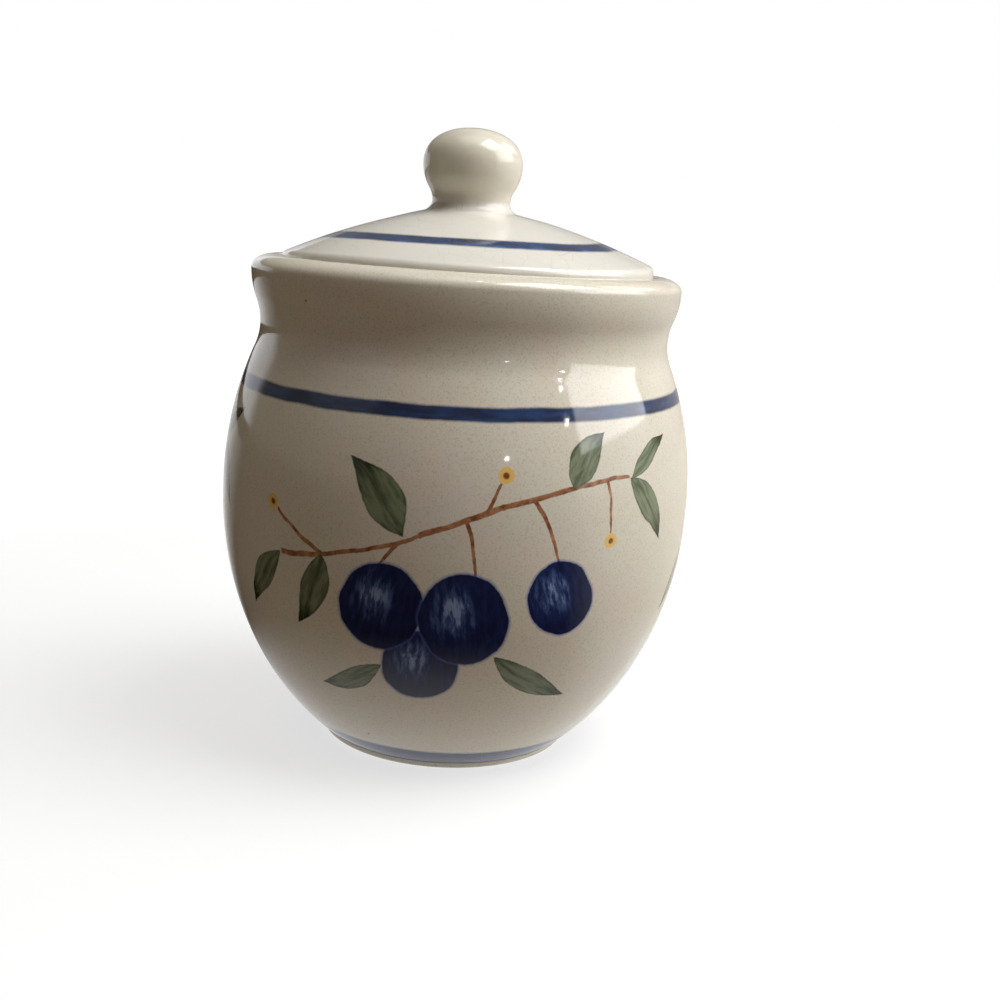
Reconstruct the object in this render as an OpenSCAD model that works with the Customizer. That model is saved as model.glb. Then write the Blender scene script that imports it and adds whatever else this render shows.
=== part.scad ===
// Glazed earthenware jam pot with a drop-in domed lid.
// The pot and its lid are turned forms, so each piece is one outline spun about the Z axis.
// Outlines are lists of [radius, height], in mm. Z = 0 is the table under the foot ring.

/* [Pot] */
// Height of the pot to the crest of its rim, without the lid
rim_h = 96.4; // [88:0.1:106]
// Radius of the belly at its widest
belly_r = 47.3; // [45:0.1:52]
// Height of the nearly straight stretch at the widest part of the belly
belly_band = 2; // [0.5:0.1:6]
// Radius of the curve that runs from the belly up over the shoulder
shoulder_arc = 68; // [60:0.5:76]
// Wall thickness of the belly and shoulder
wall = 4; // [3:0.1:5]
// Thickness of the floor above the hollow of the foot
floor_t = 4.8; // [3.5:0.1:7]
// Height over which the inside wall sweeps into the floor
floor_rise = 6.5; // [3:0.1:10]

/* [Neck and rim] */
// Radius of the neck at its narrowest
neck_r = 40.8; // [39:0.1:41.5]
// Radius of the hollow curve round the neck
neck_arc = 12; // [9:0.5:15]
// Radius of the flared lip at its widest
lip_r = 42.7; // [42:0.1:45]
// Radius of the curve under the lip
lip_arc = 16.5; // [13:0.5:20]
// Height from the widest part of the lip to the crest of the rim
lip_rise = 2.6; // [2:0.05:3.6]
// Width from the crest of the rim out to the widest part of the lip
lip_w = 4.4; // [3.4:0.1:5]
// Rounding from the crest of the rim down into the gallery
rim_round = 0.9; // [0.5:0.1:1.5]

/* [Gallery that seats the lid] */
// Depth of the gallery's ledge below the crest of the rim
gallery_depth = 3.2; // [2.6:0.1:5]
// Width of the gallery from its wall in to the throat
gallery_w = 4; // [3.4:0.1:5]
// Glaze fillet in the corner of the gallery
gallery_fillet = 0.6; // [0.3:0.1:0.9]
// Rounding of the ledge's edge at the throat
throat_round = 0.8; // [0.4:0.1:1.2]

/* [Foot] */
// Outer radius of the foot ring
foot_r = 25.8; // [23:0.1:29]
// Height of the foot ring's upright edge
foot_h = 1; // [0.8:0.1:2.5]
// Width of the foot ring where it stands on the table
foot_w = 3.2; // [2.4:0.1:5]
// Rounding of the foot ring's outer edge
foot_round = 0.6; // [0.3:0.1:0.8]
// Depth of the hollow inside the foot ring
recess_h = 1.4; // [0.8:0.1:2.2]
// Inward slope of the foot ring's inner side, measured across
recess_slope = 1.2; // [0.5:0.1:2.5]

/* [Lid] */
// Gap all round between the lid's edge and the gallery's wall
lid_gap = 0.5; // [0.3:0.05:0.9]
// Radius of the shallow dome's curve
dome_arc = 134.5; // [120:0.5:150]
// Distance across the axis to the centre of the dome's curve, which draws the dome to a soft point
dome_lean = 19; // [12:0.5:26]
// Thickness of the lid's dome beside the flange
lid_t = 3.8; // [3:0.1:5]
// Radius of the hollow under the dome
hollow_arc = 90; // [75:0.5:110]
// Height from the ledge to the middle of the rounding along the lid's edge
lid_edge_h = 3.3; // [2.8:0.1:4.4]
// Rounding along the upper side of the lid's edge
lid_edge_round = 1.5; // [0.9:0.1:2]
// Rounding along the lower side of the lid's edge
lid_under_round = 1; // [0.9:0.1:1.4]

/* [Locating flange under the lid] */
// Gap all round between the flange and the throat of the pot
flange_gap = 0.6; // [0.4:0.05:1]
// Depth of the flange below the ledge
flange_h = 6; // [4:0.1:8]
// Thickness of the flange
flange_t = 3; // [2.4:0.1:4]
// Fillet inside, between the flange and the dome
flange_fillet = 2.5; // [1:0.1:4]
// Fillet outside, between the flange and the lid's flat underside
flange_root = 0.5; // [0.3:0.05:0.6]

/* [Knob] */
// Radius of the knob's neck, where it is luted to the lid
knob_neck_r = 7.7; // [6.5:0.05:8.4]
// Radius of the slip fillet that blends the lid into the knob's neck
knob_fillet = 2.2; // [1.5:0.1:3.5]
// Radius of the hollow curve above the joint
knob_hollow = 4.2; // [3:0.1:5.5]
// Radius of the knob at its widest
knob_r = 9.75; // [9:0.05:11]
// Radius of the curve under the knob's widest part
knob_under_arc = 8.9; // [7.5:0.1:9]
// Height of the crown above the knob's widest part
knob_crown_h = 6.95; // [6:0.05:8.5]
// Fullness of the crown: 2 is an ellipse, more is squarer
knob_fullness_share = 2.2; // [2:0.05:2.8]

/* [Hidden] */
$fn = 96;
// Steps in a long sweep of an outline, in a short one and in a small rounding
long_steps = 18;
short_steps = 12;
round_steps = 5;
// Outline points nearer to each other than this are one point
same_point = 0.001;
cream = "#d9d2c1";
cream_lid = "#ded7c7";
cream_knob = "#d3cab8";

// Points of an arc about a centre, from one angle to another
function arc(centre, radius, from, to, steps) = [
    for (i = [0:steps])
        let (a = from + (to - from) * i / steps)
            centre + radius * [cos(a), sin(a)]
];

// Points of an oval arc, with its own radius across and up
function oval(centre, across, up, from, to, steps) = [
    for (i = [0:steps])
        let (a = from + (to - from) * i / steps)
            centre + [across * cos(a), up * sin(a)]
];

// Points of a fuller crown: an oval whose fullness is more than 2
function crown(centre, across, up, fullness, steps) = [
    for (i = [0:steps])
        let (a = 90 * i / steps)
            centre + [across * pow(cos(a), 2 / fullness), up * pow(sin(a), 2 / fullness)]
];

// Points of a smooth bend that starts towards the corner and ends away from it
function bend(start, corner, end, steps) = [
    for (i = [0:steps])
        let (s = i / steps)
            (1 - s) * (1 - s) * start + 2 * s * (1 - s) * corner + s * s * end
];

// Third side of a right-angled triangle, given its longest side and one other
function leg(long, other) = sqrt(long * long - other * other);

// Heights and centres of the pot's curves, worked out from the rim down
lip_z = rim_h - lip_rise;
lip_centre = [lip_r - lip_arc, lip_z];
neck_z = lip_z - leg(neck_arc + lip_arc, neck_r + neck_arc - lip_centre[0]);
neck_centre = [neck_r + neck_arc, neck_z];
shoulder_r = belly_r - shoulder_arc;
shoulder_z = neck_z - leg(shoulder_arc + neck_arc, neck_centre[0] - shoulder_r);
shoulder_centre = [shoulder_r, shoulder_z];
belly_z = shoulder_z - belly_band;
belly_up = (belly_z - foot_h) / leg(1, foot_r / belly_r);
foot_angle = asin((foot_h - belly_z) / belly_up);
neck_from = atan2(neck_z - shoulder_z, neck_centre[0] - shoulder_r);
neck_to = atan2(neck_z - lip_z, neck_centre[0] - lip_centre[0]);

// The gallery and the throat, measured in from the lip
crest_r = lip_r - lip_w;
gallery_r = crest_r - rim_round;
throat_r = gallery_r - gallery_w;
ledge_z = rim_h - gallery_depth;

// The inside of the pot keeps one wall's thickness from the outside
inside_up = belly_up - wall;
floor_z = recess_h + floor_t;
sweep_angle = asin((floor_z + floor_rise - belly_z) / inside_up);
sweep_start = [(belly_r - wall) * cos(sweep_angle), floor_z + floor_rise];
sweep_corner = [
    sweep_start[0] + (belly_r - wall) * tan(sweep_angle) * floor_rise / inside_up,
    floor_z
];
sweep_end = sweep_corner - [norm(sweep_start - sweep_corner), 0];
throat_angle = acos((throat_r - shoulder_r) / (shoulder_arc - wall));

// The lid lies on the ledge, inside the gallery
lid_r = gallery_r - lid_gap;
edge_centre = [lid_r - lid_edge_round, ledge_z + lid_edge_h];
dome_z = edge_centre[1] - leg(dome_arc - lid_edge_round, edge_centre[0] + dome_lean);
dome_centre = [-dome_lean, dome_z];
edge_angle = atan2(edge_centre[1] - dome_z, edge_centre[0] + dome_lean);
flange_r = throat_r - flange_gap;
flange_in = flange_r - flange_t;
flange_tip_z = ledge_z - flange_h + flange_t / 2;
hollow_fillet_r = flange_in - flange_fillet;
dome_above_fillet = dome_z + leg(dome_arc, hollow_fillet_r + dome_lean);
hollow_z = dome_above_fillet - lid_t - leg(hollow_arc, hollow_fillet_r);
hollow_fillet_z = hollow_z + leg(hollow_arc - flange_fillet, hollow_fillet_r);
hollow_angle = atan2(hollow_fillet_z - hollow_z, hollow_fillet_r);

// The knob stands where the slip fillet turns upright
seat_centre_r = knob_neck_r + knob_fillet;
seat_z = dome_z + leg(dome_arc + knob_fillet, seat_centre_r + dome_lean);
seat_angle = atan2(seat_z - dome_z, seat_centre_r + dome_lean);
knob_under_r = knob_r - knob_under_arc;
knob_hollow_r = knob_neck_r + knob_hollow;
knob_z = seat_z + leg(knob_hollow + knob_under_arc, knob_hollow_r - knob_under_r);
knob_angle = atan2(knob_z - seat_z, knob_hollow_r - knob_under_r);

// Neighbouring curves share their end points, so each shared point is kept once
function once(points) = [
    for (i = [0:len(points) - 1])
        if (i == 0 || norm(points[i] - points[i - 1]) > same_point)
            points[i]
];

// Outside of the pot, from the hollow of the foot up to the crest of the rim
function pot_outside() = concat(
    [[0, recess_h]],
    [[foot_r - foot_w - recess_slope, recess_h]],
    [[foot_r - foot_w, 0]],
    arc([foot_r - foot_round, foot_round], foot_round, -90, 0, round_steps),
    oval([0, belly_z], belly_r, belly_up, foot_angle, 0, long_steps),
    arc(shoulder_centre, shoulder_arc, 0, neck_from, short_steps),
    arc(neck_centre, neck_arc, 180 + neck_from, 180 + neck_to, short_steps),
    arc(lip_centre, lip_arc, neck_to, 0, round_steps),
    oval([crest_r, lip_z], lip_w, lip_rise, 0, 90, short_steps)
);

// Inside of the pot, from the crest of the rim down past the ledge to the floor
function pot_inside() = concat(
    arc([crest_r, rim_h - rim_round], rim_round, 90, 180, round_steps),
    arc([gallery_r - gallery_fillet, ledge_z + gallery_fillet], gallery_fillet, 0, -90, round_steps),
    arc([throat_r + throat_round, ledge_z - throat_round], throat_round, 90, 180, round_steps),
    arc(shoulder_centre, shoulder_arc - wall, throat_angle, 0, short_steps),
    oval([0, belly_z], belly_r - wall, inside_up, 0, sweep_angle, long_steps),
    bend(sweep_start, sweep_corner, sweep_end, short_steps),
    [[0, floor_z]]
);

module pot() {
    color(cream)
        rotate_extrude()
            polygon(once(concat(pot_outside(), pot_inside())));
}

// Underside of the lid, from its middle out over the flange to its edge
function lid_underside() = concat(
    arc([0, hollow_z], hollow_arc, 90, hollow_angle, short_steps),
    arc([hollow_fillet_r, hollow_fillet_z], flange_fillet, hollow_angle, 0, round_steps),
    arc([flange_r - flange_t / 2, flange_tip_z], flange_t / 2, 180, 360, short_steps),
    arc([flange_r + flange_root, ledge_z - flange_root], flange_root, 180, 90, round_steps),
    arc([lid_r - lid_under_round, ledge_z + lid_under_round], lid_under_round, -90, 0, round_steps)
);

// Upper side of the lid, from its edge in over the dome to the knob's joint
function lid_top() = concat(
    arc(edge_centre, lid_edge_round, 0, edge_angle, round_steps),
    arc(dome_centre, dome_arc, edge_angle, seat_angle, short_steps),
    arc([seat_centre_r, seat_z], knob_fillet, 180 + seat_angle, 180, short_steps),
    [[0, seat_z]]
);

module lid() {
    color(cream_lid)
        rotate_extrude()
            polygon(once(concat(lid_underside(), lid_top())));
}

// The knob, from its joint with the lid up over the hollow and the bulge to its crown
function knob_outline() = concat(
    [[0, seat_z]],
    arc([knob_hollow_r, seat_z], knob_hollow, 180, 180 - knob_angle, short_steps),
    arc([knob_under_r, knob_z], knob_under_arc, -knob_angle, 0, short_steps),
    crown([0, knob_z], knob_r, knob_crown_h, knob_fullness_share, long_steps)
);

module lid_knob() {
    color(cream_knob)
        rotate_extrude()
            polygon(once(knob_outline()));
}

pot();
lid();
lid_knob();
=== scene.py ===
# Glazed earthenware jam pot: the looks of the pot, its drop-in lid and the knob.
# All lengths in the dictionaries are mm, as the potter would measure them.
import math

import bpy
import numpy as np
from mathutils import Matrix, Vector


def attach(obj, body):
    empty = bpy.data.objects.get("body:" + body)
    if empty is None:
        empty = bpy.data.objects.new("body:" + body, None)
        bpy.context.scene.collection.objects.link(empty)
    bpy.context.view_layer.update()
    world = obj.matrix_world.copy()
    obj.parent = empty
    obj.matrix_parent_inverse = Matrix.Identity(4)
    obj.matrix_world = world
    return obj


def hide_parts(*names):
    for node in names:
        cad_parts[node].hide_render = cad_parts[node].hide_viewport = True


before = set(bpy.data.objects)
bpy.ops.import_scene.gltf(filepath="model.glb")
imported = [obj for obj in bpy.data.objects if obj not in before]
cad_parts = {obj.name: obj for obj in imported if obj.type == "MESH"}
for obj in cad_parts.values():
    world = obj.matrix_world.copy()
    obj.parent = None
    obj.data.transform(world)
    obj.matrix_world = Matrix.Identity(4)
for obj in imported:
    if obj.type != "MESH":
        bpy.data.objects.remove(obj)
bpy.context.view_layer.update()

mm = 0.001
print("frame loaded:", ", ".join(sorted(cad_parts)))

scene = bpy.context.scene
scene.view_settings.view_transform = "Standard"


# Camera

cameraPlace = {
    "back": 262.0,  # from the pot's axis to the lens
    "height": 105.07,
    "pitch": 12.113,  # degrees looking down
    "yaw": 2.017,  # degrees turned to the right
    "roll": -3.448,  # degrees
    "lens": 46.517,
    "sensor": 36.0,
}


def makeCamera(place):
    # forward leans down by pitch after a turn by yaw; right and up are then rolled about forward
    pitch, yaw, roll = (math.radians(place[key]) for key in ("pitch", "yaw", "roll"))
    forward = Vector((math.cos(pitch) * math.sin(yaw), math.cos(pitch) * math.cos(yaw), -math.sin(pitch)))
    level = Vector((math.cos(yaw), -math.sin(yaw), 0))
    raised = level.cross(forward)
    right = math.cos(roll) * level - math.sin(roll) * raised
    up = math.sin(roll) * level + math.cos(roll) * raised
    data = bpy.data.cameras.new("camera")
    data.lens = place["lens"]
    data.sensor_width = place["sensor"]
    data.clip_start = 10 * mm
    camera = bpy.data.objects.new("camera", data)
    turned = Matrix((right, up, -forward)).transposed().to_4x4()
    camera.matrix_world = Matrix.Translation(Vector((0, -place["back"], place["height"])) * mm) @ turned
    scene.collection.objects.link(camera)
    scene.camera = camera


makeCamera(cameraPlace)
print("camera set")


# Outlines, as arrays of [radius, height] in mm

def arc(centre, radius, fromAngle, toAngle, steps):
    # centre + radius * (cos a, sin a), with a in equal steps of degrees; radius may be (across, up)
    a = np.radians(np.linspace(fromAngle, toAngle, steps + 1))
    across, up = radius if isinstance(radius, tuple) else (radius, radius)
    return np.column_stack((centre[0] + across * np.cos(a), centre[1] + up * np.sin(a)))


def crown(centre, across, up, fullness, steps):
    # centre + (across * cos(a)^(2/fullness), up * sin(a)^(2/fullness)), a from 0 to 90 degrees
    a = np.linspace(0, math.pi / 2, steps + 1)
    c, s = np.clip(np.cos(a), 0, 1), np.sin(a)
    return np.column_stack((centre[0] + across * c ** (2 / fullness), centre[1] + up * s ** (2 / fullness)))


def bend(start, corner, end, steps):
    # (1-s)^2 start + 2s(1-s) corner + s^2 end, with s from 0 to 1
    s = np.linspace(0, 1, steps + 1)[:, None]
    return (1 - s) ** 2 * np.array(start) + 2 * s * (1 - s) * np.array(corner) + s ** 2 * np.array(end)


def line(start, end, steps):
    # start + s (end - start), with s from 0 to 1
    s = np.linspace(0, 1, steps + 1)[:, None]
    return (1 - s) * np.array(start) + s * np.array(end)


def leg(longest, other):
    return math.sqrt(longest ** 2 - other ** 2)


def joined(pieces):
    # the stretches end to end, with each shared end point kept once
    points = np.vstack(pieces)
    apart = np.hypot(*np.diff(points, axis=0).T)
    return points[np.concatenate(([True], apart > 1e-3))]


def lengthAlong(outline):
    # running sum of the distances between neighbouring points
    return np.concatenate(([0], np.cumsum(np.hypot(*np.diff(outline, axis=0).T))))


pot = {
    "rimHeight": 96.4,
    "bellyR": 47.3,
    "bellyBand": 2.0,
    "shoulderArc": 68.0,
    "wall": 4.0,
    "floorThick": 4.8,
    "floorRise": 6.5,
    "neckR": 40.8,
    "neckArc": 12.0,
    "lipR": 42.7,
    "lipArc": 16.5,
    "lipRise": 2.6,
    "lipWidth": 4.4,
    "rimRound": 0.9,
    "galleryDepth": 3.2,
    "galleryWidth": 4.0,
    "galleryFillet": 0.6,
    "throatRound": 0.8,
    "footR": 25.8,
    "footH": 1.0,
    "footWidth": 3.2,
    "footRound": 0.6,
    "footInnerRound": 0.4,
    "recessH": 1.4,
    "recessSlope": 1.2,
    "columns": 288,  # round the pot; a multiple of the repeats
    "repeats": 3,  # sprigs round the belly
    "uneven": 0.3,
}
pot["lipZ"] = pot["rimHeight"] - pot["lipRise"]
pot["neckZ"] = pot["lipZ"] - leg(
    pot["neckArc"] + pot["lipArc"], pot["neckR"] + pot["neckArc"] - pot["lipR"] + pot["lipArc"])
pot["shoulderR"] = pot["bellyR"] - pot["shoulderArc"]
pot["shoulderZ"] = pot["neckZ"] - leg(
    pot["shoulderArc"] + pot["neckArc"], pot["neckR"] + pot["neckArc"] - pot["shoulderR"])
pot["bellyZ"] = pot["shoulderZ"] - pot["bellyBand"]
pot["bellyUp"] = (pot["bellyZ"] - pot["footH"]) / leg(1, pot["footR"] / pot["bellyR"])
pot["crestR"] = pot["lipR"] - pot["lipWidth"]
pot["galleryR"] = pot["crestR"] - pot["rimRound"]
pot["throatR"] = pot["galleryR"] - pot["galleryWidth"]
pot["ledgeZ"] = pot["rimHeight"] - pot["galleryDepth"]
pot["floorZ"] = pot["recessH"] + pot["floorThick"]


def potOutside(p):
    # hollow of the foot, foot ring, oval lower belly, round shoulder, hollow neck, flared lip, crest
    lipCentre = (p["lipR"] - p["lipArc"], p["lipZ"])
    neckCentre = (p["neckR"] + p["neckArc"], p["neckZ"])
    footAngle = math.degrees(math.asin((p["footH"] - p["bellyZ"]) / p["bellyUp"]))
    neckFrom = math.degrees(math.atan2(p["neckZ"] - p["shoulderZ"], neckCentre[0] - p["shoulderR"]))
    neckTo = math.degrees(math.atan2(p["neckZ"] - p["lipZ"], neckCentre[0] - lipCentre[0]))
    innerFoot = p["footR"] - p["footWidth"]
    hollowR = innerFoot - p["recessSlope"]
    soft = p["footInnerRound"]
    return joined([
        line((0, p["recessH"]), (hollowR - soft, p["recessH"]), 16),
        bend((hollowR - soft, p["recessH"]), (hollowR, p["recessH"]),
             (hollowR + soft / 2, p["recessH"] - soft / 2), 4),
        bend((innerFoot - soft / 2, soft / 2), (innerFoot, 0), (innerFoot + soft, 0), 4),
        line((innerFoot + soft, 0), (p["footR"] - p["footRound"], 0), 3),
        arc((p["footR"] - p["footRound"], p["footRound"]), p["footRound"], -90, 0, 6),
        arc((0, p["bellyZ"]), (p["bellyR"], p["bellyUp"]), footAngle, 0, 64),
        arc((p["shoulderR"], p["shoulderZ"]), p["shoulderArc"], 0, neckFrom, 32),
        arc(neckCentre, p["neckArc"], 180 + neckFrom, 180 + neckTo, 16),
        arc(lipCentre, p["lipArc"], neckTo, 0, 8),
        arc((p["crestR"], p["lipZ"]), (p["lipWidth"], p["lipRise"]), 0, 90, 16),
    ])


def potInside(p):
    # crest, gallery wall, ledge, throat, then one wall's thickness inside the outside, and the floor
    up = p["bellyUp"] - p["wall"]
    across = p["bellyR"] - p["wall"]
    sweepAngle = math.asin((p["floorZ"] + p["floorRise"] - p["bellyZ"]) / up)
    sweepStart = (across * math.cos(sweepAngle), p["floorZ"] + p["floorRise"])
    sweepCorner = (sweepStart[0] + across * math.tan(sweepAngle) * p["floorRise"] / up, p["floorZ"])
    sweepEnd = (sweepCorner[0] - math.dist(sweepStart, sweepCorner), p["floorZ"])
    throatAngle = math.degrees(math.acos((p["throatR"] - p["shoulderR"]) / (p["shoulderArc"] - p["wall"])))
    fillet, edge = p["galleryFillet"], p["throatRound"]
    return joined([
        arc((p["crestR"], p["rimHeight"] - p["rimRound"]), p["rimRound"], 90, 180, 8),
        arc((p["galleryR"] - fillet, p["ledgeZ"] + fillet), fillet, 0, -90, 6),
        arc((p["throatR"] + edge, p["ledgeZ"] - edge), edge, 90, 180, 6),
        arc((p["shoulderR"], p["shoulderZ"]), p["shoulderArc"] - p["wall"], throatAngle, 0, 24),
        arc((0, p["bellyZ"]), (across, up), 0, math.degrees(sweepAngle), 28),
        bend(sweepStart, sweepCorner, sweepEnd, 12),
        line(sweepEnd, (0, p["floorZ"]), 12),
    ])


lid = {
    "gap": 0.5,
    "domeArc": 134.5,
    "domeLean": 19.0,  # how far the dome's arc centre lies across the axis
    "hollowArc": 90.0,
    "thick": 3.8,
    "edgeH": 3.3,
    "edgeRound": 1.5,
    "underRound": 1.0,
    "flangeGap": 0.6,
    "flangeH": 6.0,
    "flangeThick": 3.0,
    "flangeFillet": 2.5,
    "flangeRoot": 0.5,
    "columns": 288,
    "repeats": 1,
    "uneven": 0.12,
}
lid["r"] = pot["galleryR"] - lid["gap"]
lid["edgeR"] = lid["r"] - lid["edgeRound"]
lid["edgeZ"] = pot["ledgeZ"] + lid["edgeH"]
lid["domeZ"] = lid["edgeZ"] - leg(lid["domeArc"] - lid["edgeRound"], lid["edgeR"] + lid["domeLean"])

knob = {
    "neckR": 7.7,
    "fillet": 2.2,
    "hollow": 4.2,
    "r": 9.75,
    "underArc": 8.9,
    "crownH": 6.95,
    "fullness": 2.2,
    "columns": 160,
    "repeats": 1,
    "uneven": 0.0,
}
knob["seatCentreR"] = knob["neckR"] + knob["fillet"]
knob["seatZ"] = lid["domeZ"] + leg(lid["domeArc"] + knob["fillet"], knob["seatCentreR"] + lid["domeLean"])
knob["underR"] = knob["r"] - knob["underArc"]
knob["hollowR"] = knob["neckR"] + knob["hollow"]
knob["z"] = knob["seatZ"] + leg(knob["hollow"] + knob["underArc"], knob["hollowR"] - knob["underR"])


def lidUnderside(d, p):
    # hollow of the dome, fillet, round-ended flange, flat seat, small rounding
    flangeR = p["throatR"] - d["flangeGap"]
    filletR = flangeR - d["flangeThick"] - d["flangeFillet"]
    overFillet = d["domeZ"] + leg(d["domeArc"], filletR + d["domeLean"])  # the dome's height there
    hollowZ = overFillet - d["thick"] - leg(d["hollowArc"], filletR)
    filletZ = hollowZ + leg(d["hollowArc"] - d["flangeFillet"], filletR)
    hollowAngle = math.degrees(math.atan2(filletZ - hollowZ, filletR))
    tipZ = p["ledgeZ"] - d["flangeH"] + d["flangeThick"] / 2
    root, under = d["flangeRoot"], d["underRound"]
    return joined([
        arc((0, hollowZ), d["hollowArc"], 90, hollowAngle, 24),
        arc((filletR, filletZ), d["flangeFillet"], hollowAngle, 0, 8),
        arc((flangeR - d["flangeThick"] / 2, tipZ), d["flangeThick"] / 2, 180, 360, 14),
        arc((flangeR + root, p["ledgeZ"] - root), root, 180, 90, 5),
        arc((d["r"] - under, p["ledgeZ"] + under), under, -90, 0, 6),
    ])


def lidTop(d, k):
    # rounded edge, dome, and the slip fillet that turns upright under the knob
    edgeAngle = math.degrees(math.atan2(d["edgeZ"] - d["domeZ"], d["edgeR"] + d["domeLean"]))
    seatAngle = math.degrees(math.atan2(k["seatZ"] - d["domeZ"], k["seatCentreR"] + d["domeLean"]))
    return joined([
        arc((d["edgeR"], d["edgeZ"]), d["edgeRound"], 0, edgeAngle, 10),
        arc((-d["domeLean"], d["domeZ"]), d["domeArc"], edgeAngle, seatAngle, 48),
        arc((k["seatCentreR"], k["seatZ"]), k["fillet"], 180 + seatAngle, 180, 12),
        line((k["neckR"], k["seatZ"]), (0, k["seatZ"]), 4),
    ])


def knobOutline(k):
    # flat joint, hollow curve, round underside of the bulge, full crown
    angle = math.degrees(math.atan2(k["z"] - k["seatZ"], k["hollowR"] - k["underR"]))
    return joined([
        line((0, k["seatZ"]), (k["neckR"], k["seatZ"]), 3),
        arc((k["hollowR"], k["seatZ"]), k["hollow"], 180, 180 - angle, 12),
        arc((k["underR"], k["z"]), k["underArc"], -angle, 0, 16),
        crown((0, k["z"]), k["r"], k["crownH"], k["fullness"], 40),
    ])


# Turned pieces

def ease(value, start, end):
    # 0 before start, 1 after end, and s^2 (3 - 2s) between
    s = np.clip((value - start) / (end - start), 0, 1)
    return s * s * (3 - 2 * s)


# What the wheel and the kiln did to this one pot
fired = {
    "lean": 0.35,  # of a piece's unevenness, from the belly up
    "triangle": 0.15,  # of it, for a wall that is a little three-sided
    "ringDeep": 0.015,  # of it, for the throwing rings
    "lidTilt": 0.0148,  # mm up for each mm to the right, so half a mm at the lid's edge
    "rimTilt": -0.0047,
}


def thrownUnevenness(angle, r, z, amount):
    # r drawn in by amount * (half + a slow lean + a triangle + throwing rings), fading to nothing at the axis
    lean = -fired["lean"] * np.cos(angle) * ease(z, 45, 65)
    triangle = fired["triangle"] * np.sin(3 * angle - 0.05 * z + 2.1)
    rings = fired["ringDeep"] * np.sin(1.7 * z + 0.5 * np.sin(angle))
    return amount * (0.5 + lean + triangle + rings) * np.clip(r / 20, 0, 1)


def lidWarp(x, y, r, z, row):
    # lidTilt * x on the upper side: the fired lid lies low at its left and high at its right, while its
    # front, its underside and the knob's seat are level
    upper = ease(row, len(underside), len(underside) + 5)
    return fired["lidTilt"] * x * upper * ease(r, 8, 16) * ease(y / np.maximum(r, 1), -0.8, -0.1)


def rimWarp(x, y, r, z, row):
    # rimTilt * x on the lip: the rim's left is a fifth of a mm higher than its right
    return fired["rimTilt"] * x * ease(r, pot["galleryR"], pot["galleryR"] + 1.2) * ease(z, 84, 92)


def turnedPiece(name, outline, look, lift=None):
    # point(a, i) = ((r_i - uneven) cos a, (r_i - uneven) sin a, z_i + lift), closed by poles on the axis.
    # UV "paint" in mm: u = the angle from the middle of its repeat times the radius, v = the length along the
    # outline
    columns, repeats = look["columns"], look["repeats"]
    ends = np.array([outline[0], outline[-1]])
    rings = outline[1:-1]
    along = lengthAlong(outline)
    turn = np.linspace(0, 2 * math.pi, columns, endpoint=False)
    first = -math.pi / 2 - math.pi / repeats  # so that the middle of the first repeat faces the camera
    a = (turn + first)[None, :]
    r, z = rings[:, :1], rings[:, 1:]
    real = r - thrownUnevenness(a, r, z, look["uneven"])
    x, y = real * np.cos(a), real * np.sin(a)
    row = np.arange(1, len(rings) + 1)[:, None]
    raised = z + 0 * a if lift is None else z + lift(x, y, r, z, row)
    ring = np.stack((x, y, raised), axis=-1).reshape(-1, 3)
    poles = np.column_stack((0 * ends[:, 0], 0 * ends[:, 0], ends[:, 1]))
    points = np.vstack((ring, poles)) * mm
    rows = len(rings)
    i, j = np.meshgrid(np.arange(rows - 1), np.arange(columns), indexing="ij")
    nextJ = (j + 1) % columns
    quads = np.stack((i * columns + j, i * columns + nextJ,
                      (i + 1) * columns + nextJ, (i + 1) * columns + j), -1)
    k = np.arange(columns)
    low = np.column_stack((np.full(columns, rows * columns), (k + 1) % columns, k))
    last = (rows - 1) * columns
    high = np.column_stack((np.full(columns, rows * columns + 1), last + k, last + (k + 1) % columns))
    mesh = bpy.data.meshes.new(name)
    mesh.from_pydata(points.tolist(), [], quads.reshape(-1, 4).tolist() + low.tolist() + high.tolist())
    each = columns // repeats

    def across(column, corner, radius):
        # angle of a face's corner from the middle of the repeat that the face lies in, times the radius
        return ((column % each + corner) / each - 0.5) * (2 * math.pi / repeats) * radius

    radii = rings[:, 0]
    u = np.stack((across(j, 0, radii[i]), across(j, 1, radii[i]),
                  across(j, 1, radii[i + 1]), across(j, 0, radii[i + 1])), -1).reshape(-1)
    v = np.stack((along[i + 1], along[i + 1], along[i + 2], along[i + 2]), -1).reshape(-1)
    lowU = np.column_stack((0 * k, across(k, 1, radii[0]), across(k, 0, radii[0]))).reshape(-1)
    lowV = np.tile((along[0], along[1], along[1]), columns)
    highU = np.column_stack((0 * k, across(k, 0, radii[-1]), across(k, 1, radii[-1]))).reshape(-1)
    highV = np.tile((along[-1], along[-2], along[-2]), columns)
    layer = mesh.uv_layers.new(name="paint")
    uv = np.column_stack((np.concatenate((u, lowU, highU)), np.concatenate((v, lowV, highV))))
    layer.data.foreach_set("uv", uv.astype(np.float32).ravel())
    mesh.polygons.foreach_set("use_smooth", np.ones(len(mesh.polygons), bool))
    mesh.set_sharp_from_angle(angle=math.radians(50))
    mesh.update()
    piece = bpy.data.objects.new(name, mesh)
    scene.collection.objects.link(piece)
    return piece


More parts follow.
